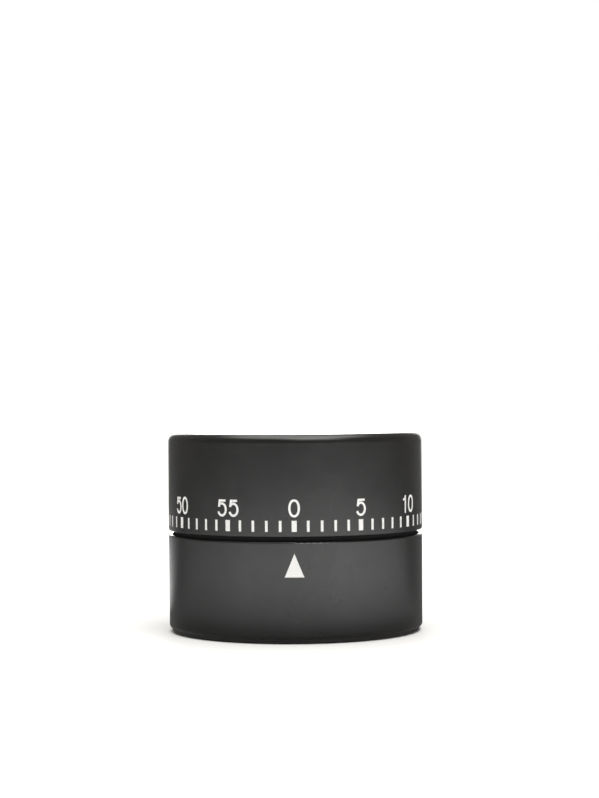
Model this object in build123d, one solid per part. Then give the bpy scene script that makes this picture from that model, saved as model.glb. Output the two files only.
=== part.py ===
from build123d import *

import os
from math import acos, atan2, cos, degrees, hypot, pi, radians, sin, tan

# Mechanical kitchen timer: a drum of two stacked shells, in millimetres.
#
# +Z is up, the origin is the centre of the face that the timer stands on, and -Y is the front, where
# the pointer of the lower shell meets the zero of the dial. Turning the dial clockwise, seen from
# above, winds the mainspring. As it runs down, a train of three gear pairs turns an escape wheel,
# which a pin lever and a balance let through tooth by tooth. At zero a cam lets the hammer swing out
# to the bell above the movement.

# Driving sizes of the drum
DRUM_R = 30.0
HEIGHT = 47.0
GAP_Z0 = 23.0  # top edge of the lower shell
GAP = 1.0  # open slit between the two shells
WALL = 2.1
TOP_EDGE_R = 1.9
RIM_EDGE_R = 0.35
FOOT_EDGE_R = 0.7

# Dial hub and ribs
HUB_R = 4.4
HUB_Z = 34.6  # lower end of the hub
RIBS = 6
RIB_SIZE = (1.2, 2.0)  # width and depth

# Clearances
RUNNING = 0.04  # radial, shaft in bearing
SEAT = 0.02  # radial, pressed or screwed seat

# Base cover and foot
FOOT_LIFT = 0.3  # the rubber foot stands this far below the cover
COVER_R = 29.3
COVER_T = 2.0
SHELL_Z0 = 1.0  # lower edge of the lower shell
FOOT_R = (24.6, 27.4)
FOOT_T = 1.1

# Movement plates
LOWER_PLATE_R = 21.5
UPPER_PLATE_R = 25.7
PLATE_T = 0.8
LOWER_PLATE_Z = 8.0
UPPER_PLATE_Z = GAP_Z0
LOWER_TOP = LOWER_PLATE_Z + PLATE_T
UPPER_TOP = UPPER_PLATE_Z + PLATE_T
DECK_OPENING_R = 24.2
DECK_T = 2.0
NECK_R = (25.9, 27.4)
NECK_TOP = 27.6
SHOULDER_R = 28.8  # the step round the neck that stands in the slit
SHOULDER_PLAY = 0.12  # between the step and the dial above it
PLATE_BOSS_R = 2.0
COVER_BOSS_R = 2.3

# Gear train: teeth and module of each pair, and pressure angle
LEAVES = 8
PAIRS = {"main": (72, 0.35), "second": (60, 0.30), "third": (54, 0.25)}
PRESSURE = radians(20)
SHIFT = 0.53  # profile shift that keeps an 8-leaf pinion from being undercut
BACKLASH = 0.12  # share of the module taken off each tooth's thickness
DEDENDUM = 1.25  # in modules, as the next three are
RIM_DEPTH = 4.5
SPOKE_HALF = 2.2
WINDOW_OVERLAP = 1.0

# Levels of the movement: lowest and highest z of each piece
MAINSPRING_Z = (9.4, 13.6)
ESCAPE_WHEEL_Z = (10.6, 11.2)
LEVER_Z = (12.0, 12.6)
ROLLER_Z = (12.9, 13.3)
HAIRSPRING_Z = (13.8, 14.2)
SECOND_WHEEL_Z = (14.5, 15.1)
BALANCE_Z = (14.9, 15.6)
MAIN_WHEEL_Z = (16.3, 17.3)
BRIDGE_Z = (16.4, 17.0)
RATCHET_Z = (17.4, 18.2)
THIRD_WHEEL_Z = (18.9, 19.4)
CAM_Z = (20.4, 21.2)

# Arbors
MAIN_R = 2.5
MAIN_TOP_R = 2.0
MAIN_PIVOT_R = 1.0
MAIN_TOP_Z = 42.4
FLAT_X = 1.5  # D flat on the top of the main arbor
FLAT_Z0 = 35.0
ARBOR_R = 0.7
SEAT_R = ARBOR_R + 0.3  # where a wheel is pressed on an arbor
THIN_ARBOR_R = 0.6
PIVOT_R = 0.35
COLLET_R = 0.9
END_PLAY = 0.1  # between a shoulder and the plate beside it

# Springs
MAINSPRING_T = 0.25
MAINSPRING_PITCH = 0.94
MAINSPRING_HALF_TURNS = 16
MAINSPRING_R = 2.9  # innermost radius
HAIRSPRING_T = 0.1
HAIRSPRING_R = 1.05
HAIRSPRING_PITCH = 0.44
HAIRSPRING_HALF_TURNS = 9
HAIRSPRING_END_R = HAIRSPRING_R + 4 * HAIRSPRING_PITCH
HAIRSPRING_STUD_R = 0.3

# Ratchet
RATCHET_TEETH = 12
RATCHET_R = (5.0, 5.9)
CLICK_RIVET_R = 0.6

# Escapement
ESCAPE_TEETH = 15
ESCAPE_TIP_R = 4.5
ESCAPE_ROOT_R = 3.3
PALLET_PIN_R = 0.2
PALLET_CLEAR = 0.03
PALLET_ANGLE = 30.0  # half the angle that the two pins span, seen from the escape wheel
FORK_REACH = 6.9  # lever arbor to balance staff
IMPULSE_R = 1.65  # impulse pin from the balance staff
IMPULSE_PIN_R = 0.22
ROLLER_R = 2.1
BALANCE_R = (3.7, 4.6)

# Bell and hammer
BELL_R = 21.6
BELL_T = 0.9
BELL_Z = (25.2, 32.5)
HAMMER_STRIKE = -10.5  # degrees from rest to the bell
CAM_R = 7.5
CAM_NOTCH_R = 6.3
STAR_POINTS = 6
STAR_R = (1.3, 2.4)
BELL_THREAD_R = 3.2
BELL_BEND_R = 3.9

# Screws, rivets and studs
PLATE_SCREW_R = 0.8
COVER_SCREW_R = 1.0
BRIDGE_SCREW_R = 0.5
BRIDGE_RIVET_R = 0.6
HAMMER_STUD_R = 0.9
PILLAR_R = 1.2
STUD_R = 0.9


def polar(radius, angle, centre=(0.0, 0.0)):
    """The point at this radius and angle, in degrees, from a centre."""
    return (centre[0] + radius * cos(radians(angle)), centre[1] + radius * sin(radians(angle)))


def heading(start, end):
    """The direction from one point to another, in degrees."""
    return degrees(atan2(end[1] - start[1], end[0] - start[0]))


def apart(a, b, c):
    """The angle in degrees between sides a and b of a triangle whose third side is c."""
    return degrees(acos((a * a + b * b - c * c) / (2 * a * b)))


def pair_distance(name):
    teeth, module = PAIRS[name]
    return module * (teeth + LEAVES) / 2


# Where the arbors stand. Each gear pair fixes the distance to the next arbor.
SECOND = polar(pair_distance("main"), 0)
THIRD_AT_R = 15.0
THIRD = polar(THIRD_AT_R, apart(hypot(*SECOND), THIRD_AT_R, pair_distance("second")))
ESCAPE_AT_R = 16.0
ESCAPE_ANGLE = heading((0, 0), THIRD) + apart(THIRD_AT_R, ESCAPE_AT_R, pair_distance("third"))
ESCAPE = polar(ESCAPE_AT_R, ESCAPE_ANGLE)
PALLET_PIN_AT = ESCAPE_TIP_R + PALLET_PIN_R + PALLET_CLEAR
LEVER_DISTANCE = PALLET_PIN_AT / cos(radians(PALLET_ANGLE))
LEVER_AT_R = 16.2
LEVER_ANGLE = ESCAPE_ANGLE + apart(ESCAPE_AT_R, LEVER_AT_R, LEVER_DISTANCE)
LEVER = polar(LEVER_AT_R, LEVER_ANGLE)
BALANCE = polar(LEVER_AT_R, LEVER_ANGLE + apart(LEVER_AT_R, LEVER_AT_R, FORK_REACH))
PALLET_PINS = [
    polar(PALLET_PIN_AT, heading(ESCAPE, LEVER) + side * PALLET_ANGLE, ESCAPE) for side in (-1, 1)
]

# Hammer: its pivot, and the tips of its cam follower, star finger and head, all at rest
FOLLOWER_R = 0.4
FINGER_R = 0.3
HAMMER_AT_R = 9.71
HAMMER = polar(HAMMER_AT_R, ESCAPE_ANGLE + 10.5)
FOLLOWER_AT = CAM_R + 0.1 + FOLLOWER_R
FOLLOWER = polar(FOLLOWER_AT, heading((0, 0), HAMMER) - degrees(acos(FOLLOWER_AT / HAMMER_AT_R)))
FINGER_AT = STAR_R[1] + 0.2 + FINGER_R
FINGER_LEAN = degrees(acos(FINGER_AT / hypot(ESCAPE[0] - HAMMER[0], ESCAPE[1] - HAMMER[1])))
FINGER = polar(FINGER_AT, heading(ESCAPE, HAMMER) - FINGER_LEAN, ESCAPE)
HEAD = polar(18.3, 112)
HEAD_R = 1.4
HEAD_POST_R = 0.8

# Fixings: each a radius and a list of angles
PILLARS = (20.0, (87, 150, 215, 270))
PLATE_SCREWS = (23.7, (100, 220, 340))
COVER_SCREWS = (21.8, (40, 160, 280))
BRIDGE_POSTS = (polar(20.0, 97), polar(15.5, 136))

# The click and its spring on the main wheel, and the stud that holds the hairspring's outer end
CLICK = polar(9.2, 145)
CLICK_ANCHOR = polar(9.2, 62)
STUD_HEADING = heading((0, 0), BALANCE)
STUD_AT = polar(HAIRSPRING_END_R, STUD_HEADING, BALANCE)


def spots(layout):
    """The points of a fixing layout."""
    return [polar(layout[0], angle) for angle in layout[1]]


def cylinder(radius, levels, at=(0.0, 0.0)):
    """A cylinder between two levels, standing at a point."""
    up = (Align.CENTER, Align.CENTER, Align.MIN)
    return Pos(at[0], at[1], levels[0]) * Cylinder(radius, levels[1] - levels[0], align=up)


def ring(outer, inner, levels, at=(0.0, 0.0)):
    return cylinder(outer, levels, at) - cylinder(inner, levels, at)


def shaft(at, *steps):
    """Coaxial cylinders stacked from the bottom up: each step is a radius and its upper level."""
    level = steps[0]
    body = None
    for radius, top in steps[1:]:
        piece = cylinder(radius, (level, top), at)
        body = piece if body is None else body + piece
        level = top
    return body


def drill(body, radius, levels, points):
    for at in points:
        body -= cylinder(radius, levels, at)
    return body


def link(a, b, radius, levels):
    """A bar with round ends from one point to another."""
    length = hypot(b[0] - a[0], b[1] - a[1])
    bar = Pos(length / 2, 0) * Rectangle(length, 2 * radius)
    flat = bar + Circle(radius) + Pos(length, 0) * Circle(radius)
    return Pos(a[0], a[1], levels[0]) * Rot(0, 0, heading(a, b)) * extrude(flat, levels[1] - levels[0])


def prism(points, levels, at=(0.0, 0.0), turn=0.0):
    """An extruded closed outline, turned about its own centre."""
    face = make_face(Polyline(*points, close=True))
    return Pos(at[0], at[1], levels[0]) * Rot(0, 0, turn) * extrude(face, levels[1] - levels[0])


def lathe(*edges):
    """A solid turned about Z from a closed profile: x is the radius and y is the height."""
    face = make_face(Wire(list(edges)))
    return revolve(Plane.XZ * face, Axis.Z)


def involute(radius, base):
    """The involute function of the pressure angle at a radius."""
    angle = acos(min(1.0, base / radius))
    return tan(angle) - angle


def gear_outline(teeth, module, shift, addendum):
    """One gear's outline, a tooth centred on +X. Each flank has three points on the involute."""
    pitch = module * teeth / 2
    base = pitch * cos(PRESSURE)
    tip = pitch + module * (addendum + shift)
    root = pitch - module * (DEDENDUM - shift)
    start = max(base, root)
    half = pi / (2 * teeth) + 2 * shift * tan(PRESSURE) / teeth - BACKLASH * module / (2 * pitch)
    flank = [(root, half + involute(pitch, base) - involute(start, base))]
    for radius in (start + 0.02 * module, (start + tip) / 2, tip):
        flank.append((radius, half + involute(pitch, base) - involute(radius, base)))
    points = []
    for tooth in range(teeth):
        centre = 2 * pi * tooth / teeth
        points += [(r * cos(centre - a), r * sin(centre - a)) for r, a in flank]
        points += [(r * cos(centre + a), r * sin(centre + a)) for r, a in reversed(flank)]
    return points


def wheel(name, levels, at, toward, hub_r, bore, spokes):
    """A toothed wheel with windows between its spokes. One tooth points at the pinion it drives."""
    teeth, module = PAIRS[name]
    turn = heading(at, toward)
    body = prism(gear_outline(teeth, module, -SHIFT, 0.9), levels, at, turn)
    rim = module * teeth / 2 - RIM_DEPTH * module
    window = ring(rim, hub_r, levels, at)
    for k in range(spokes):
        tip = polar(rim + WINDOW_OVERLAP * module, turn + 360 * k / spokes, at)
        window -= link(at, tip, SPOKE_HALF * module, levels)
    return body - window - cylinder(bore, levels, at)


def pinion(name, levels, at, driver):
    """An 8-leaf pinion with a gap facing the wheel that drives it."""
    module = PAIRS[name][1]
    turn = heading(at, driver) + 180 / LEAVES
    return prism(gear_outline(LEAVES, module, SHIFT, 0.85), levels, at, turn)


def train_arbor(name, at, driver, leaves_z, seats, wheel_z):
    """A pinion cut on its arbor, with a pivot at each end and a seat for each part fixed on it."""
    body = shaft(
        at,
        LOWER_PLATE_Z,
        (PIVOT_R, LOWER_TOP + END_PLAY),
        (ARBOR_R, UPPER_PLATE_Z - END_PLAY),
        (PIVOT_R, UPPER_TOP),
    )
    body += pinion(name, leaves_z, at, driver)
    for levels in (*seats, wheel_z):
        body += cylinder(SEAT_R, levels, at)
    return body


def spiral_strip(inner_r, pitch, half_turns, thickness, levels, at, turn):
    """A coiled strip made of half circles whose centres alternate, growing anticlockwise."""

    def side(offset):
        arcs = []
        radius, centre, angle = inner_r + offset, 0.0, 0
        for _ in range(half_turns):
            sign = 1 if angle == 0 else -1
            begin = (centre + sign * radius, 0)
            middle = (centre, sign * radius)
            end = (centre - sign * radius, 0)
            arcs.append(ThreePointArc(begin, middle, end))
            centre += sign * pitch / 2
            radius += pitch / 2
            angle = 180 - angle
        return arcs

    inside, outside = side(-thickness / 2), side(thickness / 2)
    ends = [Line(inside[0] @ 0, outside[0] @ 0), Line(inside[-1] @ 1, outside[-1] @ 1)]
    face = make_face(Wire([*inside, *outside, *ends]))
    strip = extrude(face, levels[1] - levels[0])
    return Pos(at[0], at[1], levels[0]) * Rot(0, 0, turn) * strip


def dial_shell():
    """The turning cap: its skirt carries the minute scale, its hub is pressed on the main arbor."""
    skirt_z = GAP_Z0 + GAP
    inside_r, inside_z = DRUM_R - WALL, HEIGHT - WALL
    body = cylinder(DRUM_R, (skirt_z, HEIGHT))
    body = fillet(body.edges().group_by(Axis.Z)[-1], TOP_EDGE_R)
    body = fillet(body.edges().group_by(Axis.Z)[0], RIM_EDGE_R)
    body -= cylinder(inside_r, (skirt_z, inside_z))
    body += cylinder(HUB_R, (HUB_Z, inside_z))
    rib_w, rib_d = RIB_SIZE
    for k in range(RIBS):
        rib = Box(inside_r - HUB_R + 1, rib_w, rib_d)
        body += Rot(0, 0, 360 * k / RIBS) * Pos((HUB_R + inside_r) / 2, 0, inside_z - rib_d / 2) * rib
    bore = cylinder(MAIN_TOP_R + SEAT, (HUB_Z, MAIN_TOP_Z + 0.2))
    side = 10
    flat = Pos(FLAT_X + SEAT + side / 2, 0, FLAT_Z0 + side / 2) * Box(side, side, side)
    return body - (bore - flat)


def lower_housing():
    """The fixed shell: wall, deck for the movement, stepped neck under the dial, and screw bosses."""
    inside_r = DRUM_R - WALL + 0.1
    body = cylinder(DRUM_R, (SHELL_Z0, GAP_Z0))
    body = fillet(body.edges().group_by(Axis.Z)[-1], RIM_EDGE_R)
    body = fillet(body.edges().group_by(Axis.Z)[0], FOOT_EDGE_R)
    body -= cylinder(inside_r, (SHELL_Z0, GAP_Z0 - DECK_T))
    body -= cylinder(DECK_OPENING_R, (GAP_Z0 - DECK_T, GAP_Z0))
    body += ring(NECK_R[1], NECK_R[0], (GAP_Z0, NECK_TOP))
    body += ring(SHOULDER_R, NECK_R[0], (GAP_Z0, GAP_Z0 + GAP - SHOULDER_PLAY))
    boss_z = (GAP_Z0 - 5, GAP_Z0)
    for at in spots(PLATE_SCREWS):
        body += cylinder(PLATE_BOSS_R, boss_z, at)
    body = drill(body, PLATE_SCREW_R + SEAT, (boss_z[0] + 0.5, GAP_Z0), spots(PLATE_SCREWS))
    post_z = (FOOT_LIFT + COVER_T, LOWER_PLATE_Z - 0.8)
    for at in spots(COVER_SCREWS):
        wall_at = polar(inside_r + 0.5, heading((0, 0), at))
        body += cylinder(COVER_BOSS_R, post_z, at)
        body += link(at, wall_at, 0.8, post_z)
    return drill(body, COVER_SCREW_R + SEAT, (post_z[0], post_z[1] - 0.4), spots(COVER_SCREWS))


def base_cover():
    """The bottom disc: it closes the lower shell and holds the foot in a groove."""
    z0, z1 = FOOT_LIFT, FOOT_LIFT + COVER_T
    body = cylinder(COVER_R, (z0, SHELL_Z0)) + cylinder(DRUM_R - WALL - 0.05, (z0, z1))
    body = chamfer(body.edges().group_by(Axis.Z)[0], 0.15)
    body -= ring(FOOT_R[1] + 0.05, FOOT_R[0] - 0.05, (z0, FOOT_T))
    body = drill(body, COVER_SCREW_R + 0.15, (z0, z1), spots(COVER_SCREWS))
    return drill(body, 2.2, (z0, z0 + 1.2), spots(COVER_SCREWS))


def foot_ring():
    body = ring(FOOT_R[1], FOOT_R[0], (0, FOOT_T))
    return fillet(body.edges().group_by(Axis.Z)[0], 0.15)


def screw(at, head_r, head_z, shank_r, shank_z, depth):
    """A pan head screw with a cross recess in the face away from its shank."""
    body = cylinder(head_r, head_z, at) + cylinder(shank_r, shank_z, at)
    points_down = shank_z[0] < head_z[0]
    rim = body.edges().group_by(Axis.Z)[-1 if points_down else 0]
    body = fillet(rim, 0.25)
    recess_z = head_z[1] - depth / 2 if points_down else head_z[0] + depth / 2
    for turn in (20, 110):
        slot = Box(1.3 * head_r, 0.22 * head_r, depth)
        body -= Pos(at[0], at[1], recess_z) * Rot(0, 0, turn) * slot
    return body


def cover_screws():
    z0 = FOOT_LIFT
    head_z, shank_z = (z0 + 0.2, z0 + 1.2), (z0 + 1.2, 6.0)
    return [screw(at, 2.0, head_z, COVER_SCREW_R, shank_z, 0.6) for at in spots(COVER_SCREWS)]


def plate_screws():
    head_z, shank_z = (UPPER_TOP, UPPER_TOP + 1.1), (GAP_Z0 - 4, UPPER_TOP)
    return [screw(at, 1.7, head_z, PLATE_SCREW_R, shank_z, 0.6) for at in spots(PLATE_SCREWS)]


def lower_plate():
    levels = (LOWER_PLATE_Z, LOWER_TOP)
    body = cylinder(LOWER_PLATE_R, levels)
    body = drill(body, STUD_R + SEAT, levels, spots(PILLARS))
    body = drill(body, PIVOT_R + RUNNING, levels, (SECOND, THIRD, ESCAPE, LEVER, BALANCE))
    body = drill(body, BRIDGE_RIVET_R + SEAT, levels, BRIDGE_POSTS)
    return body - cylinder(MAIN_PIVOT_R + RUNNING, levels)


def upper_plate():
    levels = (UPPER_PLATE_Z, UPPER_TOP)
    body = cylinder(UPPER_PLATE_R, levels)
    body = drill(body, STUD_R + SEAT, levels, spots(PILLARS))
    body = drill(body, PLATE_SCREW_R + 0.15, levels, spots(PLATE_SCREWS))
    body = drill(body, PIVOT_R + RUNNING, levels, (SECOND, THIRD, ESCAPE))
    body -= cylinder(HAMMER_STUD_R + SEAT, levels, HAMMER)
    body -= cylinder(BELL_THREAD_R + SEAT, levels)
    reach = hypot(HEAD[0] - HAMMER[0], HEAD[1] - HAMMER[1])
    struck = polar(reach, heading(HAMMER, HEAD) + HAMMER_STRIKE, HAMMER)
    return body - link(HEAD, struck, HEAD_POST_R + 0.35, levels)


def pillars():
    """Four posts, riveted in the lower plate and threaded for the nuts on the upper one."""
    rivet = ((1.1, LOWER_PLATE_Z), (STUD_R, LOWER_TOP))
    post = ((PILLAR_R, UPPER_PLATE_Z), (STUD_R, UPPER_TOP + 1.2))
    return [shaft(at, LOWER_PLATE_Z - 0.4, *rivet, *post) for at in spots(PILLARS)]


def nut(radius, bore, levels, at=(0.0, 0.0)):
    """A hexagon nut of this corner radius."""
    hexagon = extrude(RegularPolygon(radius, 6), levels[1] - levels[0])
    return Pos(at[0], at[1], levels[0]) * hexagon - cylinder(bore, levels, at)


def pillar_nuts():
    levels = (UPPER_TOP, UPPER_TOP + 1.1)
    return [nut(1.8, STUD_R + SEAT, levels, at) for at in spots(PILLARS)]


def main_arbor():
    """The centre shaft, with a collar under the main wheel and a D flat for the dial's hub."""
    body = shaft(
        (0, 0),
        LOWER_PLATE_Z - 0.6,
        (MAIN_PIVOT_R, LOWER_TOP + END_PLAY),
        (MAIN_R, UPPER_PLATE_Z - 0.2),
        (MAIN_TOP_R, MAIN_TOP_Z),
    )
    body += cylinder(3.4, (MAIN_WHEEL_Z[0] - 0.9, MAIN_WHEEL_Z[0] - 0.1))
    body = chamfer(body.edges().group_by(Axis.Z)[-1], 0.3)
    return body - Pos(FLAT_X + 2, 0, (FLAT_Z0 + MAIN_TOP_Z) / 2) * Box(4, 6, MAIN_TOP_Z - FLAT_Z0)


def mainspring():
    """A flat coil round the main arbor. Its outer end runs to a pillar and hooks round it."""
    pitch, half_turns = MAINSPRING_PITCH, MAINSPRING_HALF_TURNS
    anchor_r, anchor_angle = PILLARS[0], PILLARS[1][2]
    outer_r = MAINSPRING_R + pitch * half_turns / 2 - pitch / 2
    end_angle = anchor_angle - degrees(acos(outer_r / anchor_r))
    strip = spiral_strip(MAINSPRING_R, pitch, half_turns, MAINSPRING_T, MAINSPRING_Z, (0, 0), end_angle)
    start = polar(outer_r + pitch / 4, end_angle)
    anchor = polar(anchor_r, anchor_angle)
    loop_r = PILLAR_R + SEAT
    loop = ring(loop_r + MAINSPRING_T, loop_r, MAINSPRING_Z, anchor)
    tail = link(start, anchor, MAINSPRING_T / 2, MAINSPRING_Z)
    return strip + (tail - cylinder(loop_r, MAINSPRING_Z, anchor)) + loop


def main_wheel():
    body = wheel("main", MAIN_WHEEL_Z, (0, 0), SECOND, 4.6, MAIN_R + RUNNING, 5)
    for at in (CLICK, CLICK_ANCHOR):
        pad = cylinder(2.1, MAIN_WHEEL_Z, at)
        body += pad & cylinder(11.4, MAIN_WHEEL_Z)
    return drill(body, CLICK_RIVET_R + SEAT, MAIN_WHEEL_Z, (CLICK, CLICK_ANCHOR))


def ratchet_wheel():
    """Saw teeth whose steep faces push the click anticlockwise."""
    pitch = 360 / RATCHET_TEETH
    points = []
    for k in range(RATCHET_TEETH):
        points += [polar(RATCHET_R[0], k * pitch), polar(RATCHET_R[1], (k + 1) * pitch - 1.5)]
        points.append(polar(RATCHET_R[1], (k + 1) * pitch))
    return prism(points, RATCHET_Z) - cylinder(MAIN_R + SEAT, RATCHET_Z)


def click():
    """The pawl: a pivoted finger whose tip stands in front of a ratchet tooth's steep face."""
    face = 90.6  # the angle where the tip's flat stands
    nose = [
        polar(RATCHET_R[0] + 0.12, face),
        polar(RATCHET_R[0] + 0.4, face + 7),
        polar(RATCHET_R[1] + 0.9, face + 14),
        polar(RATCHET_R[1] + 1.9, face + 9),
        polar(RATCHET_R[1] + 1.3, face),
    ]
    arm = link(CLICK, polar(RATCHET_R[1] + 1.25, face + 9), 0.55, RATCHET_Z)
    body = arm + prism(nose, RATCHET_Z) + cylinder(1.3, RATCHET_Z, CLICK)
    return body - cylinder(CLICK_RIVET_R + RUNNING, RATCHET_Z, CLICK)


def click_rivet():
    z0, z1 = MAIN_WHEEL_Z[0], RATCHET_Z[1]
    return shaft(CLICK, z0, (CLICK_RIVET_R, z1 + 0.05), (1.1, z1 + 0.35))


def click_spring():
    """A leaf that leans on the click from a stud on the main wheel."""
    levels = (RATCHET_Z[0] + 0.15, RATCHET_Z[1] - 0.15)
    stud = shaft(CLICK_ANCHOR, MAIN_WHEEL_Z[0], (CLICK_RIVET_R, RATCHET_Z[1]))
    rest = polar(RATCHET_R[1] + 2.05, 97)
    return stud + link(CLICK_ANCHOR, rest, 0.12, levels)


def bell_cam():
    """The disc that holds the hammer off the bell, with one notch that frees it at zero."""
    notch_at, half = heading((0, 0), FOLLOWER) + 4, 18
    floor = polar(CAM_NOTCH_R, notch_at)
    body = cylinder(CAM_R, CAM_Z)
    sides = [polar(CAM_R + 2, notch_at + s * (half + 2)) for s in (-1, 1)]
    corners = [polar(CAM_NOTCH_R, notch_at + s * half) for s in (1, -1)]
    body -= prism([sides[0], sides[1], corners[0], floor, corners[1]], CAM_Z)
    return body - cylinder(MAIN_R + SEAT, CAM_Z)


def escape_wheel():
    """Slim pointed teeth. At rest each pallet pin is a quarter pitch from the nearest tooth."""
    pitch = 360 / ESCAPE_TEETH
    pin_angle = heading(ESCAPE, PALLET_PINS[1])
    points = []
    for k in range(ESCAPE_TEETH):
        tooth = pin_angle + pitch / 4 + k * pitch
        points.append(polar(ESCAPE_ROOT_R, tooth - 6))
        points += [polar(ESCAPE_TIP_R, tooth - 0.7), polar(ESCAPE_TIP_R, tooth + 0.7)]
        points.append(polar(ESCAPE_ROOT_R, tooth + 6))
    body = prism(points, ESCAPE_WHEEL_Z, ESCAPE)
    window = ring(2.6, 1.5, ESCAPE_WHEEL_Z, ESCAPE)
    for k in range(4):
        window -= link(ESCAPE, polar(3, 90 * k, ESCAPE), 0.3, ESCAPE_WHEEL_Z)
    return body - window - cylinder(SEAT_R + SEAT, ESCAPE_WHEEL_Z, ESCAPE)


def star_wheel():
    """The pointed wheel on the escape arbor that flicks the hammer once the cam frees it."""
    start = heading(ESCAPE, FINGER) + 180 / STAR_POINTS - 5.6
    points = []
    for k in range(STAR_POINTS):
        angle = start + 360 * k / STAR_POINTS
        points += [polar(STAR_R[0], angle - 180 / STAR_POINTS), polar(STAR_R[0], angle - 14)]
        points += [polar(STAR_R[1], angle - 3), polar(STAR_R[1], angle + 3)]
        points.append(polar(STAR_R[0], angle + 14))
    return prism(points, CAM_Z, ESCAPE) - cylinder(SEAT_R + SEAT, CAM_Z, ESCAPE)


def thin_arbor(at):
    """A plain arbor between the lower plate and the escapement bridge."""
    return shaft(
        at,
        LOWER_PLATE_Z,
        (PIVOT_R, LOWER_TOP + END_PLAY),
        (THIN_ARBOR_R, BRIDGE_Z[0] - END_PLAY),
        (PIVOT_R, BRIDGE_Z[1]),
    )


def pallet_lever():
    """The lever: two short arms for the pins, and a long arm that ends in a fork."""
    body = cylinder(1.1, LEVER_Z, LEVER)
    for pin in PALLET_PINS:
        body += link(LEVER, pin, 0.32, LEVER_Z)
    along = heading(LEVER, BALANCE)
    tip = polar(FORK_REACH - IMPULSE_R + 0.3, along, LEVER)
    body += link(LEVER, tip, 0.45, LEVER_Z) + link(polar(-1.0, along, tip), tip, 0.8, LEVER_Z)
    slot_z = (LEVER_Z[0] - 0.1, LEVER_Z[1] + 0.1)
    slot_start = polar(-0.75, along, tip)
    body -= link(slot_start, BALANCE, IMPULSE_PIN_R + 0.14, slot_z)
    body = drill(body, PALLET_PIN_R + SEAT, LEVER_Z, PALLET_PINS)
    return body - cylinder(THIN_ARBOR_R + SEAT, LEVER_Z, LEVER)


def pallet_pins():
    levels = (ESCAPE_WHEEL_Z[0] - 0.2, LEVER_Z[1])
    return [cylinder(PALLET_PIN_R, levels, pin) for pin in PALLET_PINS]


def balance_staff():
    """The balance's arbor, with the roller that carries the impulse pin, and a collet."""
    body = thin_arbor(BALANCE) + cylinder(ROLLER_R, ROLLER_Z, BALANCE)
    body += cylinder(COLLET_R, (ROLLER_Z[1], BALANCE_Z[1]), BALANCE)
    pin = polar(IMPULSE_R, heading(BALANCE, LEVER), BALANCE)
    return body + cylinder(IMPULSE_PIN_R, (LEVER_Z[0] - 0.1, ROLLER_Z[0]), pin)


def balance_wheel():
    inner_r, outer_r = BALANCE_R
    body = ring(outer_r, inner_r, BALANCE_Z, BALANCE) + cylinder(1.4, BALANCE_Z, BALANCE)
    for k in range(3):
        arm_end = polar(inner_r + 0.3, STUD_HEADING + 60 + 120 * k, BALANCE)
        body += link(BALANCE, arm_end, 0.32, BALANCE_Z)
    return body - cylinder(COLLET_R + SEAT, BALANCE_Z, BALANCE)


def hairspring():
    """A fine coil from the collet to its stud."""
    coil = (HAIRSPRING_R, HAIRSPRING_PITCH, HAIRSPRING_HALF_TURNS, HAIRSPRING_T)
    return spiral_strip(*coil, HAIRSPRING_Z, BALANCE, STUD_HEADING + 180)


def hairspring_stud():
    """A post hanging from the bridge, with a slot for the end of the hairspring."""
    middle = sum(HAIRSPRING_Z) / 2
    slot = Pos(STUD_AT[0], STUD_AT[1], middle) * Rot(0, 0, STUD_HEADING) * Box(0.16, 1, 0.5)
    return cylinder(HAIRSPRING_STUD_R, (HAIRSPRING_Z[0] - 0.2, BRIDGE_Z[1]), STUD_AT) - slot


def escapement_bridge():
    """The small bridge that holds the upper pivots of the lever and the balance."""
    first, last = BRIDGE_POSTS
    body = link(first, LEVER, 1.4, BRIDGE_Z) + link(LEVER, BALANCE, 1.3, BRIDGE_Z)
    body += link(BALANCE, last, 1.4, BRIDGE_Z) + link(BALANCE, STUD_AT, 0.9, BRIDGE_Z)
    body = drill(body, PIVOT_R + RUNNING, BRIDGE_Z, (LEVER, BALANCE))
    body = drill(body, BRIDGE_SCREW_R + 0.05, BRIDGE_Z, BRIDGE_POSTS)
    return body - cylinder(HAIRSPRING_STUD_R + SEAT, BRIDGE_Z, STUD_AT)


def bridge_posts():
    posts = []
    for at in BRIDGE_POSTS:
        post = shaft(at, LOWER_PLATE_Z, (BRIDGE_RIVET_R, LOWER_TOP), (1.0, BRIDGE_Z[0]))
        posts.append(post - cylinder(BRIDGE_SCREW_R + SEAT, (BRIDGE_Z[0] - 2.6, BRIDGE_Z[0]), at))
    return posts


def bridge_screws():
    z1 = BRIDGE_Z[1]
    head_z, shank_z = (z1, z1 + 0.7), (z1 - 3, z1)
    return [screw(at, 1.15, head_z, BRIDGE_SCREW_R, shank_z, 0.3) for at in BRIDGE_POSTS]


def hammer_stud():
    """The pivot of the hammer, riveted in the upper plate, with a head below the lever."""
    z0 = CAM_Z[0] - 0.5
    return shaft(HAMMER, z0, (1.5, CAM_Z[0] - 0.1), (HAMMER_STUD_R, UPPER_TOP))


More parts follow.
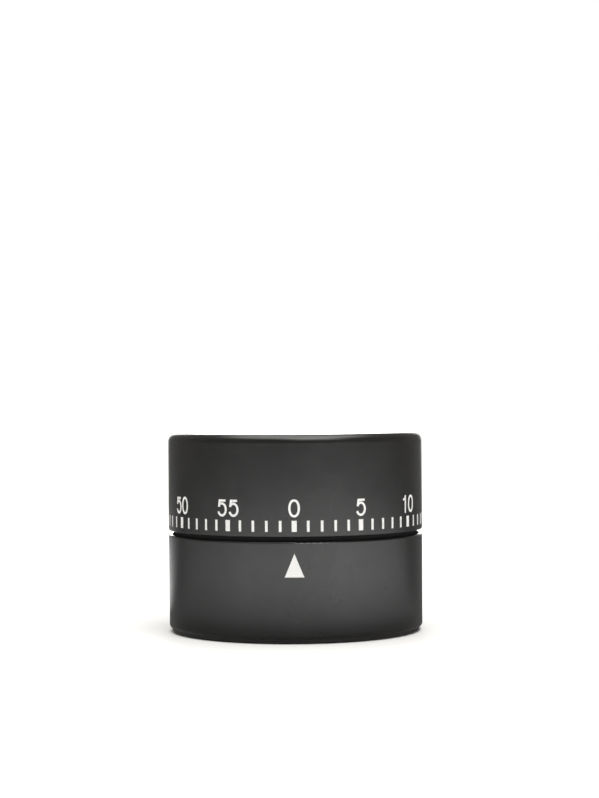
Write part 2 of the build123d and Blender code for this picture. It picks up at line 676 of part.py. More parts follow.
def hammer_lever():
    """The three-armed lever: a follower at the cam, a finger at the star, an arm for the head."""
    body = cylinder(1.8, (CAM_Z[0], UPPER_PLATE_Z - 0.2), HAMMER)
    elbow = polar(FINGER_AT + 1.05, heading(ESCAPE, FINGER), ESCAPE)
    body += link(HAMMER, FOLLOWER, FOLLOWER_R, CAM_Z)
    body += link(HAMMER, elbow, 0.35, CAM_Z) + link(elbow, FINGER, FINGER_R, CAM_Z)
    body += link(HAMMER, HEAD, 0.8, CAM_Z) + cylinder(1.25, CAM_Z, HEAD)
    body -= cylinder(HEAD_POST_R + SEAT, CAM_Z, HEAD)
    return body - cylinder(HAMMER_STUD_R + RUNNING, (CAM_Z[0], UPPER_PLATE_Z), HAMMER)


def hammer_head():
    head_z = BELL_Z[0] - 0.1
    body = shaft(HEAD, CAM_Z[0], (HEAD_POST_R, head_z), (HEAD_R, head_z + 3))
    return fillet(body.edges().group_by(Axis.Z)[-1], 0.3)


def bell_post():
    """The bush round the main arbor: pressed in the upper plate, and threaded for the bell."""
    seat_z = BELL_Z[1] - BELL_T
    top = seat_z + 2.6
    steps = ((BELL_THREAD_R, UPPER_TOP), (4.5, seat_z), (BELL_THREAD_R, top))
    body = shaft((0, 0), UPPER_PLATE_Z, *steps)
    return body - cylinder(MAIN_TOP_R + RUNNING, (UPPER_PLATE_Z, top))


def bell():
    """A pressed dome with a straight rim and a flat crown round its hole."""
    rim_z, crown_z = BELL_Z
    hole = BELL_THREAD_R + 0.05
    bend_x, bend_z = BELL_R - BELL_BEND_R, crown_z - BELL_BEND_R

    def skin(radius, top):
        """One face of the sheet, from its rim up and in to the hole."""
        reach = (radius - bend_x) * cos(radians(45))
        bend = ThreePointArc((radius, bend_z), (bend_x + reach, bend_z + reach), (bend_x, top))
        return [Line((radius, rim_z), (radius, bend_z)), bend, Line((bend_x, top), (hole, top))]

    outside, inside = skin(BELL_R, crown_z), skin(BELL_R - BELL_T, crown_z - BELL_T)
    ends = [Line(inside[0] @ 0, outside[0] @ 0), Line(inside[-1] @ 1, outside[-1] @ 1)]
    return lathe(*outside, *inside, *ends)


def bell_nut():
    return nut(5.6, BELL_THREAD_R + SEAT, (BELL_Z[1], BELL_Z[1] + 1.5))


def second_arbor():
    leaves_z = (MAIN_WHEEL_Z[0] - 0.5, MAIN_WHEEL_Z[1] + 0.5)
    return train_arbor("main", SECOND, (0, 0), leaves_z, [], SECOND_WHEEL_Z)


def third_arbor():
    leaves_z = (SECOND_WHEEL_Z[0] - 0.5, SECOND_WHEEL_Z[1] + 0.5)
    return train_arbor("second", THIRD, SECOND, leaves_z, [], THIRD_WHEEL_Z)


def escape_arbor():
    leaves_z = (THIRD_WHEEL_Z[0] - 0.4, THIRD_WHEEL_Z[1] + 0.4)
    return train_arbor("third", ESCAPE, THIRD, leaves_z, [CAM_Z], ESCAPE_WHEEL_Z)


def second_wheel():
    return wheel("second", SECOND_WHEEL_Z, SECOND, THIRD, 2.0, SEAT_R + SEAT, 4)


def third_wheel():
    return wheel("third", THIRD_WHEEL_Z, THIRD, ESCAPE, 1.8, SEAT_R + SEAT, 4)


NODES = {
    "base_cover": base_cover,
    "foot_ring": foot_ring,
    "cover_screws": cover_screws,
    "lower_housing": lower_housing,
    "plate_screws": plate_screws,
    "lower_plate": lower_plate,
    "upper_plate": upper_plate,
    "plate_pillars": pillars,
    "pillar_nuts": pillar_nuts,
    "mainspring": mainspring,
    "escapement_bridge": escapement_bridge,
    "bridge_posts": bridge_posts,
    "bridge_screws": bridge_screws,
    "hairspring": hairspring,
    "hairspring_stud": hairspring_stud,
    "hammer_stud": hammer_stud,
    "bell_post": bell_post,
    "bell": bell,
    "bell_nut": bell_nut,
    "dial_shell": dial_shell,
    "main_arbor": main_arbor,
    "ratchet_wheel": ratchet_wheel,
    "bell_cam": bell_cam,
    "main_wheel": main_wheel,
    "click_rivet": click_rivet,
    "click_spring": click_spring,
    "click": click,
    "second_arbor": second_arbor,
    "second_wheel": second_wheel,
    "third_arbor": third_arbor,
    "third_wheel": third_wheel,
    "escape_arbor": escape_arbor,
    "escape_wheel": escape_wheel,
    "star_wheel": star_wheel,
    "pallet_arbor": lambda: thin_arbor(LEVER),
    "pallet_lever": pallet_lever,
    "pallet_pins": pallet_pins,
    "balance_staff": balance_staff,
    "balance_wheel": balance_wheel,
    "hammer_lever": hammer_lever,
    "hammer_head": hammer_head,
}


def main():
    os.makedirs("parts", exist_ok=True)
    for name, make in NODES.items():
        made = make()
        shape = Compound(children=made) if isinstance(made, list) else made
        export_step(shape, f"parts/{name}.step")


main()
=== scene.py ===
"""Looks of a mechanical kitchen timer, in metres.

A black drum: its upper half turns and carries a printed minute scale, its lower half is fixed and carries
a pointer. The CAD gives every solid piece. This script adds their materials, the print, the floor, the light
and the camera.
"""

from math import cos, hypot, pi, radians, sin

import bmesh
import bpy
from mathutils import Matrix, Vector


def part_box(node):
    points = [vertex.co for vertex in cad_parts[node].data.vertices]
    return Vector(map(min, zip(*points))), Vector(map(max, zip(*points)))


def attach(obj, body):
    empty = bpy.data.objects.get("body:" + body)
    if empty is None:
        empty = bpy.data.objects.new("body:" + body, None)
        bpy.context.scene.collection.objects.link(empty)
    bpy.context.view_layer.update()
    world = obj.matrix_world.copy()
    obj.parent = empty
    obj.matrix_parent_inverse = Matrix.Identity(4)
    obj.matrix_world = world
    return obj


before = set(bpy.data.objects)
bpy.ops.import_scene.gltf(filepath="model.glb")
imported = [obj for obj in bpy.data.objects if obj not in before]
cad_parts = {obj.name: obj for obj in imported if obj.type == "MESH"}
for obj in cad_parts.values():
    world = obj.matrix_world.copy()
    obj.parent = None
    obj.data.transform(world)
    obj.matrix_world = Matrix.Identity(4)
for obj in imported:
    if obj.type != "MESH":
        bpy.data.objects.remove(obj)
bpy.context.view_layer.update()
MM = 0.001
dial_low, dial_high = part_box("dial_shell")
DRUM_R = dial_high.x


# ---------------------------------------------------------------- camera
def camera():
    """A long lens just above the rim's height, in front and half a degree to the right."""
    turn, down, roll = radians(0.52), radians(2.49), radians(-0.41)
    distance, height = 0.4993, 0.05955  # from the drum's axis, and above the floor
    data = bpy.data.cameras.new("camera")
    data.lens = 95.05
    data.shift_x, data.shift_y = 0.0056, 0.089
    data.clip_start, data.clip_end = 0.01, 20
    view = bpy.data.objects.new("camera", data)
    bpy.context.scene.collection.objects.link(view)
    place = Matrix.Translation((distance * sin(turn), -distance * cos(turn), height))
    level = Matrix.Rotation(pi / 2 - down, 4, "X") @ Matrix.Rotation(roll, 4, "Z")
    view.matrix_world = place @ Matrix.Rotation(turn, 4, "Z") @ level
    bpy.context.scene.camera = view


# ---------------------------------------------------------------- node helpers
class Nodes:
    """A short way to write a material's node tree."""

    def __init__(self, name):
        self.material = bpy.data.materials.new(name)
        self.material.use_nodes = True
        self.tree = self.material.node_tree
        self.tree.nodes.clear()
        self.shader = self.add("ShaderNodeBsdfPrincipled")
        self.out = self.add("ShaderNodeOutputMaterial")
        self.link(self.shader.outputs[0], self.out.inputs[0])
        self.place = self.add("ShaderNodeTexCoord").outputs["Object"]

    def add(self, kind, **values):
        node = self.tree.nodes.new(kind)
        for key, value in values.items():
            setattr(node, key, value)
        return node

    def link(self, a, b):
        self.tree.links.new(a, b)

    def put(self, socket, value):
        """A number, colour or another node's output into a socket."""
        if isinstance(value, bpy.types.NodeSocket):
            self.link(value, socket)
        else:
            socket.default_value = value

    def set(self, **values):
        """Shader sockets by name, with _ for a space."""
        for key, value in values.items():
            self.put(self.shader.inputs[key.replace("_", " ")], value)

    def stretch(self, scale):
        """The object's coordinates, scaled along each axis."""
        node = self.add("ShaderNodeMapping")
        self.link(self.place, node.inputs["Vector"])
        node.inputs["Scale"].default_value = scale
        return node.outputs[0]

    def noise(self, scale, detail=3.0, rough=0.5, source=None, warp=0.0):
        """Noise of this many grains to a metre, from 0 to 1."""
        node = self.add("ShaderNodeTexNoise")
        self.link(source or self.place, node.inputs["Vector"])
        node.inputs["Scale"].default_value = scale
        node.inputs["Detail"].default_value = detail
        node.inputs["Roughness"].default_value = rough
        node.inputs["Distortion"].default_value = warp
        return node.outputs["Fac"]

    def voronoi(self, scale):
        """The distance to the nearest of scattered points."""
        node = self.add("ShaderNodeTexVoronoi")
        self.link(self.place, node.inputs["Vector"])
        node.inputs["Scale"].default_value = scale
        return node.outputs["Distance"]

    def span(self, value, *limits):
        """A value moved from one range to another and held inside it: low, high and where they go."""
        node = self.add("ShaderNodeMapRange")
        self.put(node.inputs["Value"], value)
        set_range(node, limits)
        return node.outputs[0]

    def math(self, operation, a, b=0.0):
        node = self.add("ShaderNodeMath", operation=operation)
        self.put(node.inputs[0], a)
        self.put(node.inputs[1], b)
        return node.outputs[0]

    def product(self, first, *others):
        """All the values multiplied together."""
        for other in others:
            first = self.math("MULTIPLY", first, other)
        return first

    def mix(self, share, a, b):
        node = self.add("ShaderNodeMix", data_type="RGBA")
        self.put(node.inputs[0], share)
        self.put(node.inputs[6], a)
        self.put(node.inputs[7], b)
        return node.outputs[2]

    def bump(self, height, depth, strength, under=None):
        node = self.add("ShaderNodeBump")
        node.inputs["Strength"].default_value = strength
        node.inputs["Distance"].default_value = depth
        self.link(height, node.inputs["Height"])
        if under is not None:
            self.link(under, node.inputs["Normal"])
        return node.outputs[0]

    def edges(self, radius, low=0.02, high=0.25):
        """Near 1 along sharp edges: where a bevelled normal leaves the true one."""
        bevel = self.add("ShaderNodeBevel", samples=4)
        bevel.inputs["Radius"].default_value = radius
        geometry = self.add("ShaderNodeNewGeometry")
        dot = self.add("ShaderNodeVectorMath", operation="DOT_PRODUCT")
        self.link(bevel.outputs[0], dot.inputs[0])
        self.link(geometry.outputs["Normal"], dot.inputs[1])
        return self.span(dot.outputs["Value"], 1 - low, 1 - high)

    def cylindrical(self):
        """The position as x, y, the distance from the drum's axis, and the height."""
        split = self.add("ShaderNodeSeparateXYZ")
        self.link(self.place, split.inputs[0])
        x, y, height = split.outputs
        radius = self.math("SQRT", self.math("ADD", self.product(x, x), self.product(y, y)))
        return x, y, radius, height


def set_range(node, limits):
    """The four numbers of a Map Range node. Without the last two, it maps to 0 and 1."""
    low, high, to_low, to_high = limits if len(limits) == 4 else (*limits, 0.0, 1.0)
    for name, number in (("From Min", low), ("From Max", high), ("To Min", to_low), ("To Max", to_high)):
        node.inputs[name].default_value = number


def grey(value, warm=0.0):
    return (value * (1 + warm), value, value * (1 - warm), 1.0)


# ---------------------------------------------------------------- materials
SLIT_SHADE_R = (0.0292, 0.0293)  # the soft-touch coat starts between these distances from the axis; inside them, in the slit, shade is painted near black
SLIT_SHADE_Z = (0.035, 0.036)  # above these heights the coat covers all, on the dial's top, with no painted shade
BARE_ROUGHNESS = 0.95  # of the plastic under the coat, which shows in the slit


def soft_touch():
    """Black plastic under a thin soft-touch coat: fine pebble, faint handling marks, specks of dust, and
    painted shade, near black, on the faces inside the slit.
    """
    n = Nodes("soft_touch_black")
    pebble = n.noise(9000, 2.0, 0.6)
    cloud = n.noise(55, 4.0, 0.55, warp=0.6)
    fine = n.noise(420, 3.0, 0.6)
    speck = n.span(n.voronoi(1100), 0.05, 0.09, 1.0, 0.0)
    rare = n.span(n.noise(160, 1.0), 0.64, 0.70)
    dust = n.product(speck, rare)
    tone = n.mix(n.span(cloud, 0.35, 0.7), grey(0.0115, 0.03), grey(0.0155, 0.035))
    worn = n.edges(0.0004, 0.01, 0.3)
    tone = n.mix(n.product(worn, 0.25), tone, grey(0.045, 0.02))
    tone = n.mix(n.product(dust, 0.35), tone, grey(0.16, 0.05))
    rough = n.math("ADD", n.span(cloud, 0.3, 0.75, 0.22, 0.265), n.span(fine, 0.3, 0.7, -0.02, 0.02))
    _, _, radius, height = n.cylindrical()
    outside_vs_slit_shade = n.math("MAXIMUM", n.span(radius, *SLIT_SHADE_R), n.span(height, *SLIT_SHADE_Z))
    # painted shade: inside the slit the colour is set near black (0.004) to stand for the shade in the gap;
    # the coat's tone is used outside
    tone = n.mix(outside_vs_slit_shade, grey(0.004), tone)
    rough = n.math("ADD", n.product(n.math("SUBTRACT", rough, BARE_ROUGHNESS), outside_vs_slit_shade), BARE_ROUGHNESS)
    n.set(Base_Color=tone, Roughness=rough, IOR=1.5, Specular_IOR_Level=0.5)
    n.set(Normal=n.bump(pebble, 0.000012, 0.5, under=n.bump(cloud, 0.00004, 0.12)))
    return n.material


def moulded_black():
    """The cover's plain satin moulding, paler along its edges."""
    n = Nodes("moulded_black")
    grain = n.noise(5200, 2.0, 0.65)
    cloud = n.noise(90, 3.0)
    tone = n.mix(n.span(cloud, 0.35, 0.7), grey(0.022, 0.02), grey(0.032, 0.02))
    tone = n.mix(n.product(n.edges(0.0003), 0.3), tone, grey(0.07))
    n.set(Base_Color=tone, Roughness=n.span(cloud, 0.3, 0.7, 0.38, 0.5))
    n.set(Normal=n.bump(grain, 0.00002, 0.6))
    return n.material


def foot_rubber():
    """Matt rubber with dust worked into it."""
    n = Nodes("foot_rubber")
    grain = n.noise(3800, 3.0, 0.7)
    dusty = n.span(n.noise(240, 4.0, 0.6), 0.45, 0.75)
    tone = n.mix(n.product(dusty, 0.5), grey(0.018), grey(0.06, 0.04))
    n.set(Base_Color=tone, Roughness=n.span(dusty, 0.0, 1.0, 0.7, 0.88))
    n.set(Normal=n.bump(grain, 0.00004, 0.8))
    return n.material


def ink():
    """Screen-printed white ink: slightly uneven cover and a soft satin."""
    n = Nodes("printed_white")
    mottle = n.noise(2600, 3.0, 0.6)
    cover = n.noise(700, 2.0)
    tone = n.mix(n.span(mottle, 0.35, 0.7), (0.92, 0.915, 0.90, 1), (0.96, 0.955, 0.94, 1))
    tone = n.mix(n.span(cover, 0.7, 0.8, 0.0, 0.3), tone, (0.6, 0.6, 0.59, 1))
    n.set(Base_Color=tone, Roughness=n.span(mottle, 0.3, 0.7, 0.42, 0.55))
    n.set(Normal=n.bump(mottle, 0.00001, 0.5))
    return n.material


def brass(name, light, dark, direction):
    """Sheet brass brushed along one direction, a little tarnished, bright at its edges."""
    n = Nodes(name)
    lines = n.noise(900, 4.0, 0.7, source=n.stretch(direction))
    tarnish = n.span(n.noise(130, 4.0, 0.6, warp=0.8), 0.45, 0.8)
    tone = n.mix(n.span(lines, 0.3, 0.7), light, dark)
    tone = n.mix(n.product(tarnish, 0.55), tone, (0.33, 0.2, 0.075, 1))
    tone = n.mix(n.product(n.edges(0.00012), 0.5), tone, (0.95, 0.78, 0.42, 1))
    rough = n.math("ADD", n.span(lines, 0.3, 0.7, 0.2, 0.34), n.product(tarnish, 0.18))
    n.set(Base_Color=tone, Metallic=1.0, Roughness=rough, Normal=n.bump(lines, 0.00002, 0.35))
    return n.material


def metal(name, light, dark, stretch=(1, 1, 1), scale=900, rough=(0.2, 0.38)):
    """Turned, rolled or plated metal with marks along one direction and a cloudy film."""
    n = Nodes(name)
    lines = n.noise(scale, 4.0, 0.7, source=n.stretch(stretch))
    film = n.span(n.noise(170, 4.0, 0.6, warp=0.5), 0.42, 0.8)
    tone = n.mix(n.span(lines, 0.3, 0.7), light, dark)
    tone = n.mix(n.product(film, 0.35), tone, dark)
    bright = (*(min(1.0, c * 1.35) for c in light[:3]), 1)
    tone = n.mix(n.product(n.edges(0.0001), 0.5), tone, bright)
    value = n.math("ADD", n.span(lines, 0.3, 0.7, *rough), n.product(film, 0.12))
    n.set(Base_Color=tone, Metallic=1.0, Roughness=value, Normal=n.bump(lines, 0.00002, 0.35))
    return n.material


def spun(name, light, dark, rough):
    """Metal with fine rings round the drum's axis, as a lathe or a polishing mop leaves them."""
    n = Nodes(name)
    _, _, radius, height = n.cylindrical()
    join = n.add("ShaderNodeCombineXYZ")
    n.link(radius, join.inputs[0])
    n.link(height, join.inputs[1])
    rings = n.noise(5200, 3.0, 0.7, source=join.outputs[0])
    film = n.span(n.noise(110, 4.0, 0.6, warp=0.7), 0.45, 0.8)
    tone = n.mix(n.span(rings, 0.3, 0.7), light, dark)
    tone = n.mix(n.product(film, 0.3), tone, (*(c * 0.7 for c in dark[:3]), 1))
    tone = n.mix(n.product(n.edges(0.00015), 0.5), tone, (0.95, 0.94, 0.92, 1))
    value = n.math("ADD", n.span(rings, 0.3, 0.7, *rough), n.product(film, 0.15))
    n.set(Base_Color=tone, Metallic=1.0, Roughness=value, Normal=n.bump(rings, 0.00001, 0.3))
    return n.material


def dress():
    """Gives every CAD node its material."""
    steel, steel_dull = (0.62, 0.62, 0.61, 1), (0.42, 0.42, 0.42, 1)
    zinc, zinc_dull = (0.68, 0.69, 0.70, 1), (0.50, 0.51, 0.53, 1)
    turned, turned_dull = (0.70, 0.70, 0.70, 1), (0.5, 0.5, 0.51, 1)
    nickel, nickel_dull = (0.80, 0.78, 0.74, 1), (0.66, 0.64, 0.60, 1)
    plate, plate_dark = (0.86, 0.66, 0.30, 1), (0.66, 0.47, 0.18, 1)
    gear, gear_dark = (0.90, 0.70, 0.33, 1), (0.72, 0.53, 0.22, 1)
    tempered, tempered_dark = (0.30, 0.32, 0.38, 1), (0.16, 0.17, 0.21, 1)
    blued, blued_dark = (0.07, 0.12, 0.42, 1), (0.03, 0.05, 0.2, 1)
    looks = {
        soft_touch(): "dial_shell lower_housing",
        moulded_black(): "base_cover",
        foot_rubber(): "foot_ring",
        brass("plate_brass", plate, plate_dark, (1, 14, 1)): "lower_plate upper_plate escapement_bridge",
        brass("wheel_brass", gear, gear_dark, (12, 1, 1)): (
            "main_wheel second_wheel third_wheel escape_wheel balance_wheel"
        ),
        metal("zinc_plate", zinc, zinc_dull, scale=1500, rough=(0.24, 0.4)): (
            "cover_screws plate_screws bridge_screws pillar_nuts bell_nut"
        ),
        metal("spring_steel", tempered, tempered_dark, (1, 1, 12), 700, (0.22, 0.36)): (
            "mainspring click_spring"
        ),
        metal("blued_steel", blued, blued_dark, (1, 1, 8), 900, (0.18, 0.3)): "hairspring",
        metal("stamped_steel", steel, steel_dull, (1, 9, 1), 800, (0.28, 0.45)): (
            "ratchet_wheel bell_cam click pallet_lever hammer_lever star_wheel"
        ),
        metal("turned_steel", turned, turned_dull, (1, 1, 16), 900, (0.16, 0.3)): (
            "main_arbor second_arbor third_arbor escape_arbor pallet_arbor pallet_pins balance_staff "
            "hairspring_stud hammer_stud click_rivet plate_pillars bridge_posts"
        ),
        spun("bell_nickel", nickel, nickel_dull, (0.12, 0.25)): "bell",
        spun("post_zinc", zinc, zinc_dull, (0.2, 0.35)): "bell_post",
        metal("hammer_nickel", (0.74, 0.72, 0.68, 1), (0.55, 0.54, 0.5, 1), (1, 1, 9), 1100): "hammer_head",
    }
    for material, nodes in looks.items():
        for name in nodes.split():
            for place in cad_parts[name].material_slots:
                place.link = "OBJECT"
                place.material = material


# ---------------------------------------------------------------- print, in millimetres
STROKE = 0.52
CAP = 4.06
DIGIT_W = 2.62
DIGIT_GAP = 0.42
TICK = 2.5
TICK_W = 0.6
FIFTH_TICK_W = 1.15
TICK_LOW = 1.3  # from the dial's lower edge to the ticks
NUMERAL_LIFT = 0.74  # from the ticks to the numerals
SLIT = 1.0
POINTER_DROP = 2.6  # from the slit's lower edge to the tip
POINTER = (2.2, 5.3)  # half the base, and the height
INK_SINK = 0.02  # how far the ink's inner face is below the drum's surface
INK_T = 0.03  # how far its outer face stands above it
INK_STEP = 0.003  # each next stroke of a digit stands this much higher, so that no faces coincide
MITRE = 2.2  # the longest mitre, in half strokes
ZERO_POWER = 2 / 2.12  # 1 would make the zero an ellipse, and less makes it squarer


def arc(cx, cy, rx, ry, start, end):
    """Points of an elliptical arc, angles in degrees anticlockwise from the right."""
    steps = max(6, int(abs(end - start) / 9))
    angles = [radians(start + (end - start) * k / steps) for k in range(steps + 1)]
    return [(cx + rx * cos(a), cy + ry * sin(a)) for a in angles]


def superellipse(cx, cy, rx, ry, power, steps=48):
    """Points of a closed curve between an ellipse and a box."""

    def bend(value):
        return abs(value) ** power * (1 if value >= 0 else -1)

    angles = [2 * pi * k / steps for k in range(steps)]
    return [(cx + rx * bend(cos(a)), cy + ry * bend(sin(a))) for a in angles]


def digits():
    """The strokes of the digits 0 to 5, as centre lines in a box DIGIT_W wide and CAP tall."""
    h = STROKE / 2
    left, right, top, low = h, DIGIT_W - h, CAP - h, h
    mid = DIGIT_W / 2
    rx = (right - left) / 2

    zero = [superellipse(mid, CAP / 2, rx, (top - low) / 2, ZERO_POWER)]

    stem = mid + 0.42
    flag = [(-0.95, -1.02), (-0.55, -0.93), (-0.2, -0.7), (0, -0.28)]
    one = [[(stem, 0), (stem, CAP)], [(stem + x, CAP + z) for x, z in flag]]

    bowl = 1.14
    foot = [(left + 0.42, low + 0.95), (left, low), (right + 0.9 * h, low)]
    two = [arc(mid, top - bowl, rx, bowl, 172, -28) + foot]

    upper, lower = 0.94, 1.16
    waist = (mid - 0.3, top - 2 * upper)
    three = [
        arc(mid, top - upper, rx - 0.1, upper, 165, -90) + [waist],
        [waist] + arc(mid, waist[1] - lower + 0.02, rx, lower, 90, -168),
    ]

    bar, post = 1.12, right - 0.42
    four = [[(post, 0), (post, CAP)], [(post, top - 0.02), (left - 0.05, bar), (right + h, bar)]]

    roof, bowl = top - 0.18, 1.36
    five = [
        [(right - 0.08, roof), (left + 0.42, roof), (left + 0.2, top - 1.6)],
        arc(mid - 0.02, low + bowl, rx, bowl, 140, -158),
    ]
    return [zero, one, two, three, four, five]


def direction(a, b):
    """The unit vector from one point to another."""
    size = hypot(b[0] - a[0], b[1] - a[1])
    return ((b[0] - a[0]) / size, (b[1] - a[1]) / size)


def ribbon(path, closed, width):
    """The two edges of a stroke of even width along a path, with mitred corners."""
    sides = ([], [])
    for k, (x, y) in enumerate(path):
        steps = []
        if closed or k > 0:
            steps.append(direction(path[k - 1], (x, y)))
        if closed or k < len(path) - 1:
            steps.append(direction((x, y), path[(k + 1) % len(path)]))
        dx = sum(step[0] for step in steps) / len(steps)
        dy = sum(step[1] for step in steps) / len(steps)
        size = hypot(dx, dy)
        reach = min(MITRE, 1 / size) * width / 2
        nx, ny = -dy / size * reach, dx / size * reach
        sides[0].append((x + nx, y + ny))
        sides[1].append((x - nx, y - ny))
    return sides


def wrap(x, z, lift, angle):
    """A point of the flat print laid round the drum, at a height over its surface, in metres."""
    turn = angle + x * MM / DRUM_R - pi / 2
    radius = DRUM_R + lift * MM
    return Vector((radius * cos(turn), radius * sin(turn), z * MM))


def add_strip(bm, sides, z0, x0=0.0, angle=0.0, closed=False, lift=INK_T):
    """A thin closed solid of ink between two edges, laid on the drum round a centre line at an angle."""
    rings = []
    for a, b in zip(*sides):
        corners = ((-INK_SINK, a), (lift, a), (lift, b), (-INK_SINK, b))
        rings.append([bm.verts.new(wrap(x0 + x, z0 + z, height, angle)) for height, (x, z) in corners])
    pairs = list(zip(rings, rings[1:]))
    if closed:
        pairs.append((rings[-1], rings[0]))
    for first, second in pairs:
        for k in range(4):
            bm.faces.new((first[k], first[(k + 1) % 4], second[(k + 1) % 4], second[k]))
    if not closed:
        bm.faces.new(rings[0])
        bm.faces.new(reversed(rings[-1]))


def as_object(bm, name, material):
    """A mesh turned into an object of the scene."""
    mesh = bpy.data.meshes.new(name)
    bm.to_mesh(mesh)
    bm.free()
    mesh.materials.append(material)
    made = bpy.data.objects.new(name, mesh)
    bpy.context.scene.collection.objects.link(made)
    return made


def print_on(body, name, bm, material):
    """Finished print, which moves with a body."""
    bmesh.ops.recalc_face_normals(bm, faces=bm.faces)
    made = as_object(bm, name, material)
    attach(made, body)


def minute_scale(material):
    """Sixty ticks, each fifth one wide, as one printed ring."""
    bm = bmesh.new()
    low = dial_low.z / MM + TICK_LOW
    upright = [(0, TICK * k / 3) for k in range(4)]
    for minute in range(60):
        sides = ribbon(upright, False, TICK_W if minute % 5 else FIFTH_TICK_W)
        add_strip(bm, sides, low, angle=radians(6 * minute))
    print_on("dial", "minute_ticks", bm, material)


def numerals(material):
    """A numeral over every fifth tick, counting up to the right."""
    bm = bmesh.new()
    strokes = digits()
    low = dial_low.z / MM + TICK_LOW + TICK + NUMERAL_LIFT
    for minute in range(0, 60, 5):
        text = str(minute)
        total = len(text) * DIGIT_W + (len(text) - 1) * DIGIT_GAP
        for place, digit in enumerate(text):
            x0 = -total / 2 + place * (DIGIT_W + DIGIT_GAP)
            closed = digit == "0"
            for k, path in enumerate(strokes[int(digit)]):
                sides = ribbon(path, closed, STROKE)
                add_strip(bm, sides, low, x0, radians(6 * minute), closed, INK_T + INK_STEP * k)
    print_on("dial", "minute_numerals", bm, material)


def pointer(material):
    """The solid triangle on the lower shell, tip up, in upright strips so that it follows the drum."""
    bm = bmesh.new()
    half, tall = POINTER
    strips, thinnest = 12, 0.02
    base = dial_low.z / MM - SLIT - POINTER_DROP - tall
    shares = [k / strips for k in range(-strips, strips + 1)]
    under = [(half * share, base) for share in shares]
    over = [(half * share, base + max(thinnest, tall * (1 - abs(share)))) for share in shares]
    add_strip(bm, (over, under), 0.0)
    print_on("base", "pointer_mark", bm, material)


# ---------------------------------------------------------------- stage and light
FLOOR_HALF = 6.0
FRONT_BOX = ((0.22, -0.5, 0.85), (0, -0.15, 0), 0.6, 2.7)  # place, aim, side and radiance
BOUNCE_R = (0.055, 0.42)
BOUNCE_Z = 0.0008

# Radiances, where 1 is the camera's white
BACKDROP = 7.5  # low behind the timer
ZENITH = 3.3  # from straight above
ROOM = 0.2  # from everywhere else
BOUNCE = 3.9  # of the card in front of the timer
BACK_BOUNCE = 1.1  # of the card behind it, on the left


def floor():
    """One pale sheet, wide enough to reach the horizon. The drum mirrors the bounce card in its place."""
    bm = bmesh.new()
    bmesh.ops.create_grid(bm, x_segments=8, y_segments=8, size=FLOOR_HALF)
    n = Nodes("floor_paper")
    fibre = n.noise(700, 3.0, 0.6)
    n.set(Base_Color=n.mix(fibre, (0.905, 0.905, 0.90, 1), (0.925, 0.925, 0.92, 1)), Roughness=0.8)
    n.set(Specular_IOR_Level=0.2)
    made = as_object(bm, "floor", n.material)
    made.visible_glossy = False


def soft_box(name, place, aim, side, glow):
    """A square lamp of this side and radiance."""
    data = bpy.data.lights.new(name, "AREA")
    data.shape = "SQUARE"
    data.size = side
    data.energy = pi * side * side * glow
    lamp = bpy.data.objects.new(name, data)
    bpy.context.scene.collection.objects.link(lamp)
    lamp.location = place
    lamp.rotation_euler = (Vector(aim) - Vector(place)).to_track_quat("-Z", "Y").to_euler()


def bounce_light():
    """The card's glow, upwards only: strongest in front and to the right, weaker behind on the left."""
    n = Nodes("bounce_card")
    x, y, radius, _ = n.cylindrical()
    across, along = n.math("DIVIDE", x, radius), n.math("DIVIDE", y, radius)
    front = n.product(n.span(along, 0.45, -0.75), n.span(across, -1.0, 1.0, 0.75, 1.3))
    front = n.product(front, n.span(radius, 0.07, 0.19, 0.2, 1.0), n.span(radius, 0.24, 0.42, 1.0, 0.0))
    back = n.product(n.span(along, 0.55, 0.85), n.span(across, 0.0, -0.3))
    back = n.product(back, n.span(radius, 0.1, 0.42, 1.0, 0.0))
    up = n.math("SUBTRACT", 1.0, n.add("ShaderNodeNewGeometry").outputs["Backfacing"])
    lit = n.math("ADD", n.product(front, BOUNCE), n.product(back, BACK_BOUNCE))
    glow = n.product(n.math("ADD", lit, ROOM), up)
    lamp = n.add("ShaderNodeEmission")
    n.link(glow, lamp.inputs["Strength"])
    n.link(lamp.outputs[0], n.out.inputs[0])
    return n.material


def bounce():
    """A flat lit ring round the timer, just above the floor. Only reflections see it."""
    bm = bmesh.new()
    steps = 52
    rows = []
    for k in range(steps):
        angle = 2 * pi * k / steps
        rows.append([bm.verts.new((r * cos(angle), r * sin(angle), BOUNCE_Z)) for r in BOUNCE_R])
    for first, second in zip(rows, rows[1:] + rows[:1]):
        bm.faces.new((first[0], first[1], second[1], second[0]))
    made = as_object(bm, "bounce_card", bounce_light())
    made.visible_camera = made.visible_shadow = made.visible_diffuse = False


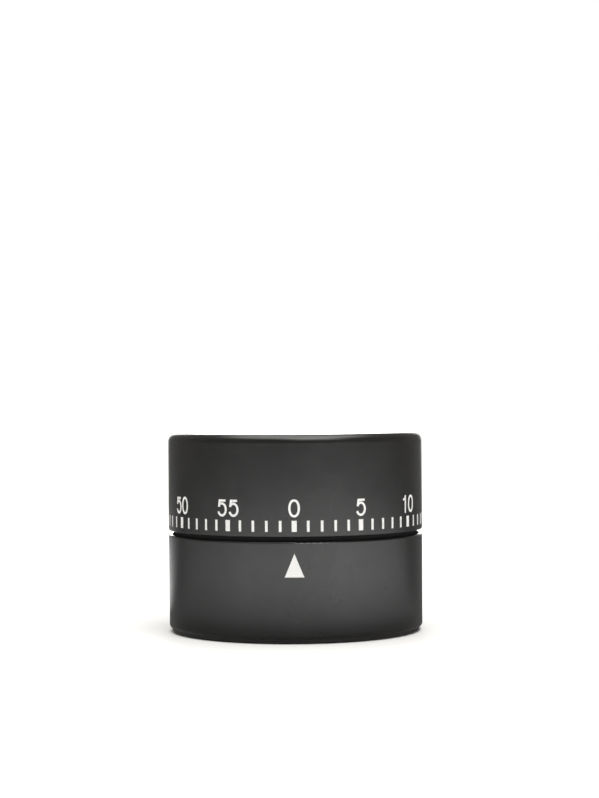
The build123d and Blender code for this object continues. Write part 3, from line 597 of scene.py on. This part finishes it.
def sky(tree):
    """A dim room with a bright, narrow backdrop low behind the timer. The camera itself sees plain white."""
    nodes, links = tree.nodes, tree.links

    def add(kind, **values):
        node = nodes.new(kind)
        for key, value in values.items():
            setattr(node, key, value)
        return node

    def ramp(source, *limits):
        node = add("ShaderNodeMapRange", interpolation_type="SMOOTHSTEP")
        links.new(source, node.inputs["Value"])
        set_range(node, limits)
        return node.outputs[0]

    def combine(operation, a, b):
        node = add("ShaderNodeMath", operation=operation)
        for place, value in zip(node.inputs, (a, b)):
            if isinstance(value, bpy.types.NodeSocket):
                links.new(value, place)
            else:
                place.default_value = value
        return node.outputs[0]

    split = add("ShaderNodeSeparateXYZ")
    links.new(add("ShaderNodeTexCoord").outputs["Generated"], split.inputs[0])
    x, y, z = split.outputs
    # the backdrop's part of the sky: x runs to the right, y away from the camera and z up
    wide = combine("MULTIPLY", ramp(x, -0.34, -0.08), ramp(x, 0.06, 0.34, 1.0, 0.0))
    tall = combine("MULTIPLY", ramp(z, -0.06, 0.02), ramp(z, 0.22, 0.42, 1.0, 0.0))
    behind = combine("MULTIPLY", combine("MULTIPLY", wide, tall), ramp(y, 0.0, 0.3))
    above = combine("MULTIPLY", ramp(z, 0.78, 0.92), ZENITH)
    total = combine("ADD", combine("ADD", combine("MULTIPLY", behind, BACKDROP), above), ROOM)
    background = nodes["Background"]
    background.inputs["Color"].default_value = (1.0, 0.985, 0.955, 1.0)
    links.new(total, background.inputs["Strength"])
    white = add("ShaderNodeBackground")
    white.inputs["Color"].default_value = (1.0, 1.0, 1.0, 1.0)
    choose = add("ShaderNodeMixShader")
    links.new(add("ShaderNodeLightPath").outputs["Is Camera Ray"], choose.inputs[0])
    links.new(background.outputs[0], choose.inputs[1])
    links.new(white.outputs[0], choose.inputs[2])
    links.new(choose.outputs[0], nodes["World Output"].inputs[0])


def studio():
    """The sky, one soft lamp from above the front, and the bounce card."""
    world = bpy.data.worlds.new("studio")
    bpy.context.scene.world = world
    world.use_nodes = True
    sky(world.node_tree)
    bpy.context.scene.view_settings.view_transform = "Standard"
    soft_box("front_box", *FRONT_BOX)
    bounce()


camera()
dress()
printed = ink()
minute_scale(printed)
numerals(printed)
pointer(printed)
floor()
studio()
